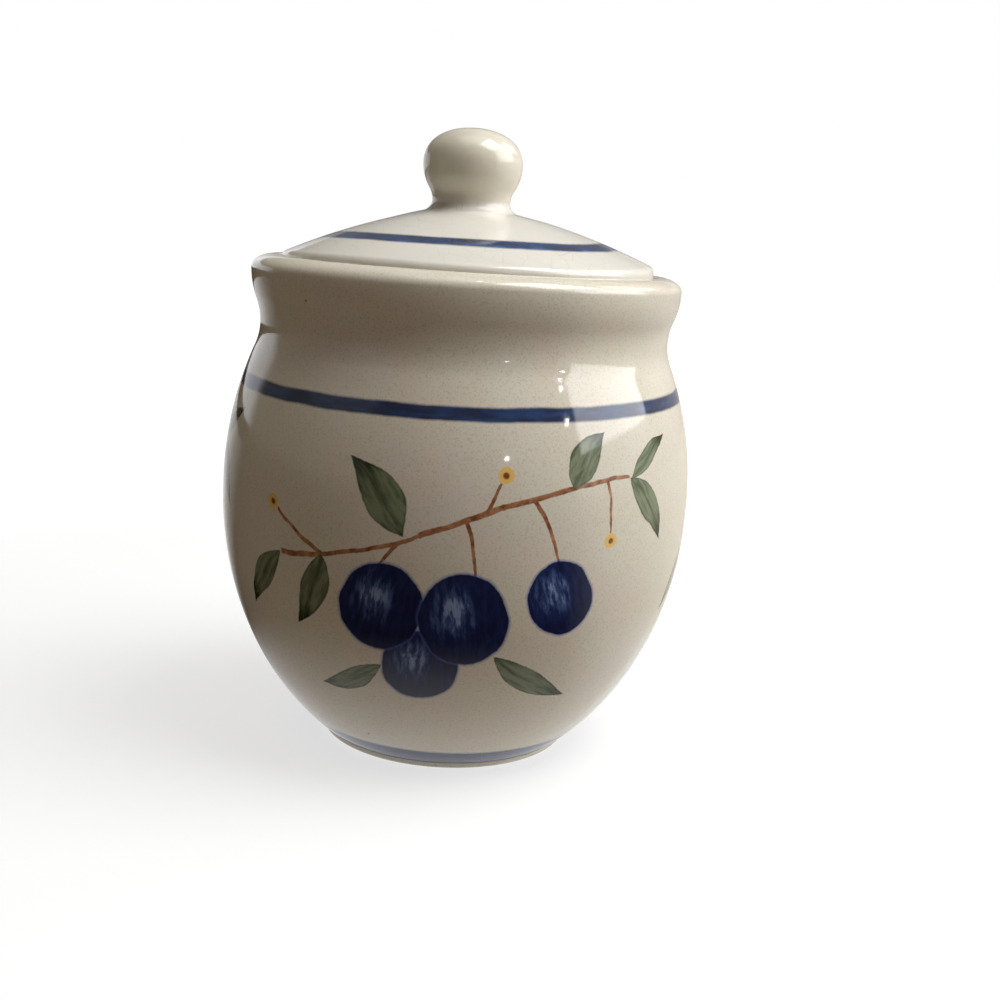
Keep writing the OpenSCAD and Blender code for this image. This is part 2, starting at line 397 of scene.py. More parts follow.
outside, inside = potOutside(pot), potInside(pot)
potLine = joined([outside, inside])
underside, top = lidUnderside(lid, pot), lidTop(lid, knob)
lidLine = joined([underside, top])
potPiece = turnedPiece("pot_glazed", potLine, pot, rimWarp)
lidPiece = turnedPiece("lid_glazed", lidLine, lid, lidWarp)
knobPiece = turnedPiece("knob_glazed", knobOutline(knob), knob)
for piece, node, body in ((potPiece, "pot", "pot"), (lidPiece, "lid", "lid"), (knobPiece, "lid_knob", "lid")):
    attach(piece, body)
    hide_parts(node)
    print(piece.name, len(piece.data.polygons), "faces")


# Materials

def linear(hexColour):
    # sRGB hex to linear: (c / 12.92) for dark values, else ((c + 0.055) / 1.055) ^ 2.4
    parts = [int(hexColour[k:k + 2], 16) / 255 for k in (1, 3, 5)]
    return tuple(c / 12.92 if c <= 0.04045 else ((c + 0.055) / 1.055) ** 2.4 for c in parts) + (1.0,)


def addNode(tree, kind, inputs=(), **settings):
    # a node with its settings, and with each input set to a value or linked from a socket or another node
    node = tree.nodes.new(kind)
    for key, value in settings.items():
        setattr(node, key, value)
    for key, value in dict(inputs).items():
        socket = node.inputs[key] if isinstance(key, int) else next(
            s for s in node.inputs if s.name == key and s.enabled)
        if isinstance(value, bpy.types.Node):
            value = next(s for s in value.outputs if s.enabled)
        if isinstance(value, bpy.types.NodeSocket):
            tree.links.new(value, socket)
        elif isinstance(value, str):
            socket.default_value = linear(value)
        else:
            socket.default_value = value
    return node


def combine(tree, operation, *values):
    # one sum, product or comparison of two or three numbers or sockets
    return addNode(tree, "ShaderNodeMath", dict(enumerate(values)), operation=operation)


def cover(tree, mask, under, over):
    # the colour under, hidden by the colour over where the mask is 1
    return addNode(tree, "ShaderNodeMix", {"Factor": mask, "A": under, "B": over}, data_type="RGBA")


def fade(tree, value, start, end, low=0.0, high=1.0):
    # low at start and high at end, with a soft S between them
    return addNode(tree, "ShaderNodeMapRange", {"Value": value, "From Min": start, "From Max": end,
                   "To Min": low, "To Max": high}, interpolation_type="SMOOTHSTEP")


def paintRamp(tree, value, stops):
    # colours laid at the given places from 0 to 1, blended between them
    ramp = addNode(tree, "ShaderNodeValToRGB", {"Fac": value})
    first, last = ramp.color_ramp.elements
    first.position, first.color = stops[0][0], linear(stops[0][1])
    last.position, last.color = stops[-1][0], linear(stops[-1][1])
    for position, colour in stops[1:-1]:
        ramp.color_ramp.elements.new(position).color = linear(colour)
    return ramp


def newGroup(name, inputs, outputs):
    # an empty node group with number or vector sockets, and its input and output nodes
    group = bpy.data.node_groups.new(name, "ShaderNodeTree")
    kinds = {"number": "NodeSocketFloat", "vector": "NodeSocketVector"}
    for socketName, kind in inputs.items():
        group.interface.new_socket(name=socketName, in_out="INPUT", socket_type=kinds[kind])
    for socketName in outputs:
        group.interface.new_socket(name=socketName, in_out="OUTPUT", socket_type=kinds["number"])
    return group, group.nodes.new("NodeGroupInput"), group.nodes.new("NodeGroupOutput")


def brushMarks(group, place, along, scale):
    # uneven loading of the brush: noise drawn out along the stroke, from 0 where thin to 1 where thick
    stretched = addNode(group, "ShaderNodeMapping", {"Vector": place, "Scale": along})
    noise = addNode(group, "ShaderNodeTexNoise", {"Vector": stretched, "Scale": scale, "Detail": 4.0,
                    "Roughness": 0.62})
    return fade(group, noise, 0.34, 0.66)


def plumGroup():
    # The local place has length 1 at the painted edge. Tone is 0 in the dark wash and 1 in the pale bloom,
    # which lies off the middle, is streaked by the brush and is crossed by the plum's groove
    group, start, end = newGroup("paintedPlum", {"Place": "vector"}, ("Mask", "Bleed", "Tone"))
    place = start.outputs["Place"]
    flat = addNode(group, "ShaderNodeVectorMath", {0: place, 1: (1, 1, 0)}, operation="MULTIPLY")
    rim = addNode(group, "ShaderNodeVectorMath", {0: flat}, operation="LENGTH").outputs["Value"]
    offMiddle = addNode(group, "ShaderNodeVectorMath", {0: flat, 1: (0.2, -0.22, 0)}, operation="ADD")
    inner = addNode(group, "ShaderNodeVectorMath", {0: offMiddle}, operation="LENGTH").outputs["Value"]
    patch = fade(group, inner, 0.95, 0.0)
    marks = brushMarks(group, place, (2.3, 0.6, 1), 3.4)
    split = addNode(group, "ShaderNodeSeparateXYZ", {0: flat})
    bow = combine(group, "MULTIPLY", split.outputs["Y"], split.outputs["Y"])
    fromGroove = combine(group, "ABSOLUTE", combine(group, "MULTIPLY_ADD", bow, 0.36, combine(
        group, "SUBTRACT", split.outputs["X"], 0.38)))
    groove = fade(group, fromGroove, 0.03, 0.16, 0.35, 1.0)
    loaded = combine(group, "MULTIPLY_ADD", marks, 0.5, 0.42)
    bloom = combine(group, "MULTIPLY", combine(group, "MULTIPLY", patch, loaded), groove)
    tone = combine(group, "MULTIPLY_ADD", marks, 0.22, bloom)
    group.links.new(fade(group, rim, 1.01, 0.97).outputs[0], end.inputs["Mask"])
    group.links.new(fade(group, rim, 1.07, 0.99, 0.0, 0.6).outputs[0], end.inputs["Bleed"])
    group.links.new(tone.outputs[0], end.inputs["Tone"])
    return group


def bowedLine(group, place, bow):
    # x along the stroke from -1 to 1, what is left of its width there (1 - x^2), and how far y lies off its
    # bow
    split = addNode(group, "ShaderNodeSeparateXYZ", {0: place})
    x = split.outputs["X"]
    taper = combine(group, "MAXIMUM", combine(group, "SUBTRACT", 1.0, combine(group, "MULTIPLY", x, x)), 0.0)
    off = combine(group, "SUBTRACT", split.outputs["Y"], combine(group, "MULTIPLY", taper, bow))
    return x, taper, combine(group, "ABSOLUTE", off)


def leafGroup():
    # Half width (1 - x^2)(1 - 0.3 x) along x from -1 to 1. Tone is high at the tip, the edge and the midrib
    group, start, end = newGroup("paintedLeaf", {"Place": "vector", "Bow": "number"}, ("Mask", "Tone"))
    x, taper, off = bowedLine(group, start.outputs["Place"], start.outputs["Bow"])
    lean = combine(group, "MAXIMUM", combine(group, "MULTIPLY_ADD", x, -0.3, 1.0), 0.0)
    room = combine(group, "SUBTRACT", combine(group, "MULTIPLY", taper, lean), off)
    rib = fade(group, off, 0.2, 0.03, 0.0, 0.25)
    tip = fade(group, x, 0.2, 0.85, 0.0, 0.8)
    pooled = fade(group, room, 0.25, 0.02, 0.0, 0.35)
    marks = brushMarks(group, start.outputs["Place"], (0.8, 1.8, 1), 1.6)
    dark = combine(group, "ADD", combine(group, "MAXIMUM", rib, tip), pooled)
    tone = combine(group, "ADD", dark, combine(group, "MULTIPLY_ADD", marks, 0.5, -0.1))
    group.links.new(fade(group, room, 0.0, 0.1).outputs[0], end.inputs["Mask"])
    group.links.new(tone.outputs[0], end.inputs["Tone"])
    return group


def twigGroup():
    # A line round its bow, for x from -1 to 1, one unit wide each side where the brush lands and 0.65 at its
    # end
    group, start, end = newGroup("paintedTwig", {"Place": "vector", "Bow": "number"}, ("Mask",))
    x, taper, off = bowedLine(group, start.outputs["Place"], start.outputs["Bow"])
    spread = combine(group, "ADD", off, combine(group, "MULTIPLY_ADD", x, 0.17, 0.17))
    mask = combine(group, "MULTIPLY", fade(group, spread, 1.15, 0.75), fade(group, taper, 0.0, 0.06))
    group.links.new(mask.outputs[0], end.inputs["Mask"])
    return group


bands = {
    "shoulder": {"low": 72.5, "high": 74.98, "soft": 0.65, "strength": 0.97},
    "foot": {"low": 1.3, "high": 5.3, "soft": 1.2, "strength": 0.98},
    "lid": {"outer": 29.5, "inner": 26.1, "soft": 1.1, "strength": 0.97},
    "stray": 0.4,  # of the sprig's wobble
    "lean": (0.35, 0.9),  # mm that the shoulder's ring lies higher at +X and at +Y
    "cobalt": [(0.05, "#0f2348"), (0.5, "#183b69"), (1.0, "#4a79b8")],
    "footWash": [(0.1, "#1e2e56"), (0.5, "#344a7e")],
}

# Strokes of one sprig: x right of its middle and y up from the height "middle", with sizes in mm and degrees
sprig = {
    "middle": 41.0,
    "twigs": [
        {"from": (-34, 4), "to": (-5.5, 11), "wide": 1.1, "bow": -1.2},
        {"from": (-6.5, 10.6), "to": (34.5, 21), "wide": 1.2, "bow": 2},
        {"from": (-24, 5.6), "to": (-35, 12), "wide": 0.9, "bow": 0.6},
        {"from": (-10, 9.3), "to": (-13, 5), "wide": 0.8, "bow": 0},
        {"from": (2, 14.2), "to": (4, 4), "wide": 0.8, "bow": 0.5},
        {"from": (14, 17.9), "to": (19.5, 6), "wide": 0.8, "bow": 0.6},
        {"from": (5.5, 15.2), "to": (8, 20.5), "wide": 0.8, "bow": 0},
        {"from": (28.5, 20.3), "to": (30, 11), "wide": 0.7, "bow": 0.4},
    ],
    "leaves": [
        {"at": (-27, -2), "turn": -110, "long": 16, "wide": 6.5, "bow": 0.3},
        {"at": (16, -17), "turn": -35, "long": 19, "wide": 5.5, "bow": -0.4},
        {"at": (-18.5, -18.6), "turn": -150, "long": 15, "wide": 5, "bow": 0.5},
        {"at": (-14, 17), "turn": 128, "long": 17, "wide": 7.5, "bow": -0.3},
        {"at": (24.5, 24.4), "turn": 60, "long": 12, "wide": 6.5, "bow": 0.3},
        {"at": (39.8, 14.3), "turn": -50, "long": 17, "wide": 5, "bow": 0.4},
        {"at": (40, 24), "turn": 35, "long": 13, "wide": 4, "bow": 0.3},
        {"at": (-38.6, -2.6), "turn": -125, "long": 16, "wide": 5.5, "bow": -0.4},
    ],
    "plums": [
        {"at": (-5, -14.5), "turn": 0, "wide": 14, "high": 15},
        {"at": (-12.5, -3), "turn": -12, "wide": 15.5, "high": 17},
        {"at": (2.5, -4.5), "turn": 6, "wide": 16, "high": 18},
        {"at": (20.5, -0.5), "turn": 14, "wide": 13, "high": 14.5},
    ],
    "buds": [(-36.3, 12.8), (8.7, 21.8), (30.2, 9.6)],
    "budWide": 3.0,
    "wobble": ((6.0, 1.2), (0.8, 0.22)),  # over these mm, the hand strays by up to half these mm
    "plumWash": [(0.0, "#111a3d"), (0.35, "#1d2b58"), (0.7, "#445884"), (1.0, "#8092b6")],
    "bleed": "#4a62a8",
    "leafWash": [(0.0, "#7d866b"), (0.4, "#5b664a"), (0.95, "#2a3118")],
    "twigWash": [(0.35, "#7a4c2c"), (0.65, "#b5835f")],
    "ochre": "#e8bf6a",
    "budDot": "#7a4a26",
}


def alongOutline(stretch, lengths, column, value):
    # the length along the outline at which its radius (column 0) or height (column 1) has this value
    order = np.argsort(stretch[:, column])
    return float(np.interp(value, stretch[order, column], lengths[order]))


def strokePlace(tree, paint, at, turn, half, seed):
    # local place of a stroke: moved to its middle, turned along it and divided by its half sizes. Its z is a
    # number of its own, so that no two strokes have the same brush marks
    return addNode(tree, "ShaderNodeMapping", {
        "Vector": paint, "Location": (at[0], at[1], seed),
        "Rotation": (0, 0, math.radians(turn)), "Scale": (half[0], half[1], 1)}, vector_type="TEXTURE")


def paintSprigs(tree, colour, paint, middle):
    # twigs, then leaves, plums and buds, each laid over what is under it by its mask
    plum, leaf, twig = plumGroup(), leafGroup(), twigGroup()
    raised = addNode(tree, "ShaderNodeVectorMath", {0: paint, 1: (0, middle, 0)}, operation="SUBTRACT")
    beads = addNode(tree, "ShaderNodeTexNoise", {"Vector": raised, "Scale": 0.5, "Detail": 2.0})
    brown = paintRamp(tree, beads, sprig["twigWash"])
    for s in sprig["twigs"]:
        (x0, y0), (x1, y1) = s["from"], s["to"]
        half = (math.hypot(x1 - x0, y1 - y0) / 2, s["wide"] / 2)
        turn = math.degrees(math.atan2(y1 - y0, x1 - x0))
        place = strokePlace(tree, raised, ((x0 + x1) / 2, (y0 + y1) / 2), turn, half, 0)
        stroke = addNode(tree, "ShaderNodeGroup", node_tree=twig)
        tree.links.new(place.outputs[0], stroke.inputs["Place"])
        stroke.inputs["Bow"].default_value = s["bow"] / half[1]
        colour = cover(tree, stroke.outputs["Mask"], colour, brown)
    for seed, s in enumerate(sprig["leaves"]):
        place = strokePlace(tree, raised, s["at"], s["turn"], (s["long"] / 2, s["wide"] / 2), 3 * seed + 1)
        stroke = addNode(tree, "ShaderNodeGroup", node_tree=leaf)
        tree.links.new(place.outputs[0], stroke.inputs["Place"])
        stroke.inputs["Bow"].default_value = s["bow"]
        green = paintRamp(tree, stroke.outputs["Tone"], sprig["leafWash"])
        colour = cover(tree, stroke.outputs["Mask"], colour, green)
    for seed, s in enumerate(sprig["plums"]):
        place = strokePlace(tree, raised, s["at"], s["turn"], (s["wide"] / 2, s["high"] / 2), 5 * seed + 2)
        stroke = addNode(tree, "ShaderNodeGroup", node_tree=plum)
        tree.links.new(place.outputs[0], stroke.inputs["Place"])
        blue = paintRamp(tree, stroke.outputs["Tone"], sprig["plumWash"])
        colour = cover(tree, stroke.outputs["Bleed"], colour, sprig["bleed"])
        colour = cover(tree, stroke.outputs["Mask"], colour, blue)
    for at in sprig["buds"]:
        place = strokePlace(tree, raised, at, 0, (sprig["budWide"] / 2, sprig["budWide"] / 2), 0)
        rim = addNode(tree, "ShaderNodeVectorMath", {0: place}, operation="LENGTH").outputs["Value"]
        ochre = cover(tree, fade(tree, rim, 0.5, 0.25), sprig["ochre"], sprig["budDot"])
        colour = cover(tree, fade(tree, rim, 1.05, 0.85), colour, ochre)
    return colour


glaze = {
    "cream": "#d9d3c5",
    "greenish": "#d8d4c1",
    "pinkish": "#dccfc0",
    "white": "#dedcd6",  # where the tin lies thicker
    "freckle": "#b3a384",
    "ironSpeck": "#5c4a38",
    "craze": "#a18f74",
    "biscuit": "#cdb793",  # bare fired clay
    "biscuitRoughness": 0.85,
    "cloudMm": 24.0,
    "tintMm": 9.0,
    "freckleMm": 0.34,
    "dotMm": 1.6,  # width of a cell that may have a dot
    "dotR": 0.075,  # of a cell
    "speckMm": 7.0,
    "speckR": 0.05,
    "spotted": 0.25,  # share of the cells that have their dot or speck
    "crazeWidth": 0.12,
    "rippleMm": 8.0,
    "rippleDeep": 0.05,
    "peelMm": 0.9,
    "peelDeep": 0.003,
    "ior": 1.5,
    "roughness": (0.06, 0.1),  # from clear glaze to the freckles, which lie a little rough
    "bareSoft": 0.1,  # mm over which the glaze ends
}
finishes = {
    "pot": {"white": 0.0, "freckles": 0.4, "dots": 0.25, "specks": 0.85, "crazeMm": 9.0, "crazing": 0.12},
    "lid": {"white": 0.6, "freckles": 0.06, "dots": 0.1, "specks": 0.6, "crazeMm": 3.6, "crazing": 0.4},
    "knob": {"white": 0.1, "freckles": 0.06, "dots": 0.08, "specks": 0.3, "crazeMm": 5.0, "crazing": 0.1},
}


def scattered(tree, place, cellMm, size):
    # round spots, one of up to this size in each cell of the given width whose own number is high enough
    cells = addNode(tree, "ShaderNodeTexVoronoi", {"Vector": place, "Scale": 1 / (cellMm * mm)})
    lot = addNode(tree, "ShaderNodeSeparateColor", {"Color": cells.outputs["Color"]})
    reach = addNode(tree, "ShaderNodeMapRange", {"Value": lot.outputs[0], "From Min": 1 - glaze["spotted"],
                    "From Max": 1.0, "To Max": size})
    return fade(tree, combine(tree, "SUBTRACT", reach, cells.outputs["Distance"]), 0.0, 0.02)


def glazedEarthenware(name, finish, bandRows, bareRows, sprigMiddle=None):
    # Earthenware thrown, dipped in a cream tin glaze, painted and fired glossy: a warm white with tan specks
    # and hair cracks, clear mirror reflections that waver a little, and bare matt clay where it stood in the
    # kiln
    material = bpy.data.materials.new(name)
    material.use_nodes = True
    tree = material.node_tree
    tree.nodes.clear()
    place = addNode(tree, "ShaderNodeTexCoord").outputs["Object"]
    paint = addNode(tree, "ShaderNodeUVMap", uv_map="paint").outputs[0]
    cloud = addNode(tree, "ShaderNodeTexNoise", {"Vector": place, "Scale": 1 / (glaze["cloudMm"] * mm),
                    "Detail": 3.0})
    tint = addNode(tree, "ShaderNodeTexNoise", {"Vector": place, "Scale": 1 / (glaze["tintMm"] * mm),
                   "Detail": 2.0})
    grain = addNode(tree, "ShaderNodeTexNoise", {"Vector": place, "Scale": 1 / (glaze["freckleMm"] * mm),
                    "Detail": 1.5})
    colour = cover(tree, fade(tree, cloud, 0.35, 0.65), glaze["cream"], glaze["greenish"])
    colour = cover(tree, fade(tree, tint, 0.4, 0.75, 0.0, 0.6), colour, glaze["pinkish"])
    colour = cover(tree, finish["white"], colour, glaze["white"])
    colour = cover(tree, fade(tree, grain, 0.48, 0.74, 0.0, finish["freckles"]), colour, glaze["freckle"])
    dots = scattered(tree, place, glaze["dotMm"], glaze["dotR"])
    colour = cover(tree, combine(tree, "MULTIPLY", dots, finish["dots"]), colour, glaze["freckle"])

    warped = addNode(tree, "ShaderNodeVectorMath", {
        0: tint.outputs["Color"], 1: (2 * mm, 2 * mm, 2 * mm), 2: place}, operation="MULTIPLY_ADD")
    cracks = addNode(tree, "ShaderNodeTexVoronoi", {"Vector": warped, "Scale": 1 / (finish["crazeMm"] * mm)},
                     feature="DISTANCE_TO_EDGE")
    hair = fade(tree, cracks.outputs["Distance"], glaze["crazeWidth"] / finish["crazeMm"] / 2, 0.0)
    patchy = fade(tree, cloud, 0.4, 0.6, 0.0, finish["crazing"])
    colour = cover(tree, combine(tree, "MULTIPLY", hair, patchy), colour, glaze["craze"])

    # hand wobble of the brush, which strays less on the rings, as the pot turns on the wheel for them
    steady = paint
    for broad, reach in sprig["wobble"]:
        stray = addNode(tree, "ShaderNodeTexNoise", {"Vector": place, "Scale": 1 / (broad * mm),
                        "Detail": 1.0})
        centred = addNode(tree, "ShaderNodeVectorMath", {0: stray.outputs["Color"], 1: (0.5, 0.5, 0.5)},
                          operation="SUBTRACT")
        paint = addNode(tree, "ShaderNodeVectorMath", {0: centred, 1: (reach, reach, 0), 2: paint},
                        operation="MULTIPLY_ADD").outputs[0]
        steady = addNode(tree, "ShaderNodeVectorMath", {
            0: centred, 1: (0, reach * bands["stray"], 0), 2: steady}, operation="MULTIPLY_ADD").outputs[0]
    level = addNode(tree, "ShaderNodeMapping", {"Vector": place, "Scale": (1, 1, 5)})
    streak = addNode(tree, "ShaderNodeTexNoise", {"Vector": level, "Scale": 1 / (5 * mm), "Detail": 4.0})
    streaky = fade(tree, streak, 0.3, 0.7)
    height = addNode(tree, "ShaderNodeSeparateXYZ", {0: steady}).outputs["Y"]
    for band in bandRows:
        line = height
        if "lean" in band:
            lean = Vector((*band["lean"], 0)) / (pot["neckR"] * mm)
            tilt = addNode(tree, "ShaderNodeVectorMath", {0: place, 1: lean}, operation="DOT_PRODUCT")
            line = combine(tree, "SUBTRACT", height, tilt.outputs["Value"])
        low, high, half = band["low"], band["high"], band["soft"] / 2
        mask = combine(tree, "MULTIPLY", fade(tree, line, low - half, low + half),
                       fade(tree, line, high + half, high - half, 0.0, band["strength"]))
        thin = fade(tree, line, low + half, low + 3 * half, band.get("thin", 0.0), 0.0)
        blue = paintRamp(tree, combine(tree, "MULTIPLY_ADD", streaky, 0.5, thin), band["wash"])
        colour = cover(tree, mask, colour, blue)
    if sprigMiddle is not None:
        colour = paintSprigs(tree, colour, paint, sprigMiddle)

    specks = scattered(tree, place, glaze["speckMm"], glaze["speckR"])
    colour = cover(tree, combine(tree, "MULTIPLY", specks, finish["specks"]), colour, glaze["ironSpeck"])

    shine = addNode(tree, "ShaderNodeMapRange", {"Value": grain, "From Min": 0.3, "From Max": 0.8,
                    "To Min": glaze["roughness"][0], "To Max": glaze["roughness"][1]})
    soft = glaze["bareSoft"]
    for low, high in bareRows:
        bare = combine(tree, "MULTIPLY", fade(tree, height, low - soft, low + soft),
                       fade(tree, height, high + soft, high - soft))
        clay = cover(tree, fade(tree, grain, 0.4, 0.7, 0.0, 0.35), glaze["biscuit"], glaze["freckle"])
        colour = cover(tree, bare, colour, clay)
        shine = addNode(tree, "ShaderNodeMix", {"Factor": bare, "A": shine, "B": glaze["biscuitRoughness"]})
    ripple = addNode(tree, "ShaderNodeTexNoise", {"Vector": place, "Scale": 1 / (glaze["rippleMm"] * mm),
                     "Detail": 2.0})
    peel = addNode(tree, "ShaderNodeTexNoise", {"Vector": place, "Scale": 1 / (glaze["peelMm"] * mm),
                   "Detail": 1.0})
    bumpy = addNode(tree, "ShaderNodeBump", {"Height": ripple, "Strength": 1.0,
                    "Distance": glaze["rippleDeep"] * mm})
    bumpy = addNode(tree, "ShaderNodeBump", {"Height": peel, "Strength": 1.0,
                    "Distance": glaze["peelDeep"] * mm, "Normal": bumpy})
    shader = addNode(tree, "ShaderNodeBsdfPrincipled", {"Base Color": colour, "Roughness": shine,
                     "Normal": bumpy, "IOR": glaze["ior"]})
    addNode(tree, "ShaderNodeOutputMaterial", {"Surface": shader})
    return material


def bandRow(stretch, lengths, column, band, wash, **more):
    # a painted ring as lengths along the outline, from its lower or outer edge to its upper or inner one
    keys = ("low", "high") if column else ("outer", "inner")
    low, high = (alongOutline(stretch, lengths, column, band[key]) for key in keys)
    return {"low": low, "high": high, "soft": band["soft"], "strength": band["strength"], "wash": wash,
            **more}


alongPot, alongLid = lengthAlong(potLine), lengthAlong(lidLine)
outer = slice(26, len(outside) - 8)  # the rows from the foot's edge up to the lip, where heights only rise
standing = slice(0, 30)  # the rows from the axis to the foot's edge, where radii only rise
ledge = slice(len(outside) + 8, len(outside) + 20)  # the rows across the gallery's ledge
dome = slice(len(underside) + 10, len(lidLine) - 18)  # the dome's rows, where the radius only falls
seat = slice(len(underside) - 8, len(underside))  # the lid's flat seat
sprigMiddle = alongOutline(potLine[outer], alongPot[outer], 1, sprig["middle"])
potBands = [
    bandRow(potLine[outer], alongPot[outer], 1, bands["shoulder"], bands["cobalt"], lean=bands["lean"]),
    bandRow(potLine[outer], alongPot[outer], 1, bands["foot"], bands["footWash"]),
]
lidBands = [bandRow(lidLine[dome], alongLid[dome], 0, bands["lid"], bands["cobalt"], thin=0.2)]
potBare = [
    [alongOutline(potLine[standing], alongPot[standing], 0, r)
     for r in (pot["footR"] - pot["footWidth"] + pot["footInnerRound"] / 2, pot["footR"] - pot["footRound"])],
    sorted(alongOutline(potLine[ledge], alongPot[ledge], 0, r)
           for r in (pot["throatR"] + pot["throatRound"], pot["galleryR"] - pot["galleryFillet"])),
]
lidBare = [[alongOutline(lidLine[seat], alongLid[seat], 0, r)
            for r in (pot["throatR"], lid["r"] - lid["underRound"])]]
potPiece.data.materials.append(
    glazedEarthenware("painted_cream_glaze", finishes["pot"], potBands, potBare, sprigMiddle))
lidPiece.data.materials.append(glazedEarthenware("banded_cream_glaze", finishes["lid"], lidBands, lidBare))
knobPiece.data.materials.append(glazedEarthenware("plain_cream_glaze", finishes["knob"], [], []))
print("glazes mixed, with", len(potBands) + len(lidBands), "painted rings")


# Floor, cards and lights

def outwards(azimuth, elevation=0.0):
    # azimuth 0 is the camera's side (-Y), and 90 is +X
    a, e = math.radians(azimuth), math.radians(elevation)
    return Vector((math.sin(a) * math.cos(e), -math.cos(a) * math.cos(e), math.sin(e)))


# Sizes in mm; radiance 1 is white. An upright lamp faces level, the others face the pot
lamps = [
    {"name": "window", "azimuth": 83.7, "elevation": 30.0, "away": 1270.0, "upright": True,
     "size": (961.0, 815.0), "radiance": 4.3, "colour": "#fbfdff"},
    {"name": "skylight", "azimuth": 76.0, "elevation": 62.0, "away": 1100.0,
     "size": (700.0, 600.0), "radiance": 7.4, "colour": "#ffffff"},
    {"name": "sideWindow", "azimuth": 121.0, "elevation": 38.0, "away": 1100.0,
     "size": (430.0, 490.0), "radiance": 2.4, "colour": "#ffffff"},
    {"name": "topLamp", "azimuth": 0.0, "elevation": 90.0, "away": 1100.0,
     "size": (700.0, 700.0), "radiance": 1.35, "colour": "#fffaf4"},
]
# small ceiling spots, which only show as sparkles on the glaze
for azimuth, elevation in ((23.0, 12.0), (55.0, 21.0), (56.0, 31.0), (35.0, 83.0)):
    lamps.append({"name": f"spot{int(elevation)}", "azimuth": azimuth, "elevation": elevation, "away": 950.0,
                  "size": (24.0, 24.0), "radiance": 60.0, "colour": "#ffffff"})
lampCentre = 60.0  # height of the point that the lamps face
roomLight = 0.09  # what the world throws on the pot as light; the camera and mirror reflections see it white

# What the glaze mirrors of the room: paint, glow, its colour, and the radius from which a mat starts to show
cardPaints = {
    "dark": ("#3e2c20", 0.02, "#ffc89a", 0),
    "leftEdge": ("#6c675f", 1.1, "#f4f8ff", 0),
    "leftGap": ("#5a544b", 0.11, "#fff6ea", 0),
    "leftCard": ("#6c675f", 0.2, "#fff6ea", 0),
    "rightCard": ("#6f6558", 0.5, "#fff8ee", 0),
    "rightWall": ("#4a443c", 0.15, "#ffffff", 0),
    "backWall": ("#4a443c", 0.2, "#ffffff", 0),
    "daylight": ("#000000", 1.0, "#ffffff", 0),
    "ceiling": ("#3c352d", 0.06, "#fff6ea", 0),
    "tableMat": ("#32221a", 0.0, "#ffffff", 32),
    "rightMat": ("#8a8478", 0.5, "#fffaf2", 60),
    "backMat": ("#8a8478", 0.6, "#f8faff", 60),
}
leftSide = [(190, "backWall"), (198, "leftEdge"), (234, "leftEdge"), (242, "leftGap"), (274, "leftGap"),
            (282, "leftCard"), (312, "leftCard"), (322, "dark")]
# Each is swept between two azimuths from one (radius, height) to another, blends from one paint to the next,
# and is out of the camera's sight
cards = [
    {"name": "skirting", "from": (1000, 0), "to": (1000, 60), "around": [
        (107, "rightCard"), (162, "rightCard"), (172, "backWall"), (188, "backWall"), (198, "dark"),
        (410, "dark"), (422, "daylight")]},
    {"name": "lowWall", "from": (1000, 60), "to": (1000, 250), "around": [
        (107, "rightCard"), (162, "rightCard"), (172, "backWall"), *leftSide, (410, "dark"),
        (422, "daylight")]},
    {"name": "midWall", "from": (1000, 250), "to": (1000, 330), "around": [
        (107, "rightCard"), (162, "rightCard"), (172, "backWall"), *leftSide, (420, "dark")]},
    {"name": "highWall", "from": (1000, 330), "to": (1000, 1150), "around": [
        (107, "rightWall"), (162, "rightWall"), (172, "backWall"), (190, "backWall"), (198, "leftGap"),
        *leftSide[4:], (420, "dark")]},
    {"name": "ceiling", "from": (10, 1300), "to": (1350, 1300), "around": [(0, "ceiling"), (360, "ceiling")]},
    {"name": "mat", "from": (30, 0.2), "to": (1500, 0.2), "around": [
        (-146, "backMat"), (-122, "tableMat"), (46, "tableMat"), (70, "rightMat"), (162, "rightMat"),
        (182, "backMat"), (214, "backMat")]},
]
matFade = 46.0  # mm over which a mat comes in

floorLook = {
    "wide": 8000.0,
    "paint": "#949494",
    "nearGlow": 0.68,
    "farGlow": 1.0,
    "near": 150.0,
    "far": 450.0,
    "bounce": "#7f7469",  # what the floor throws back on the pot as light, which is less than the camera sees
    "footGlow": 0.4,
    "footGlowTo": 70.0,
}


def makeLamp(look):
    # power = pi * area * radiance
    wide, high = (side * mm for side in look["size"])
    data = bpy.data.lights.new(look["name"], "AREA")
    data.shape = "RECTANGLE"
    data.size, data.size_y = wide, high
    data.energy = math.pi * wide * high * look["radiance"]
    data.color = linear(look["colour"])[:3]
    lamp = bpy.data.objects.new(look["name"], data)
    towards = outwards(look["azimuth"], look["elevation"])
    lamp.location = Vector((0, 0, lampCentre * mm)) + towards * look["away"] * mm
    facing = outwards(look["azimuth"], 0 if look.get("upright") else look["elevation"])
    lamp.rotation_euler = facing.to_track_quat("Z", "Y").to_euler()
    lamp.visible_camera = False
    scene.collection.objects.link(lamp)


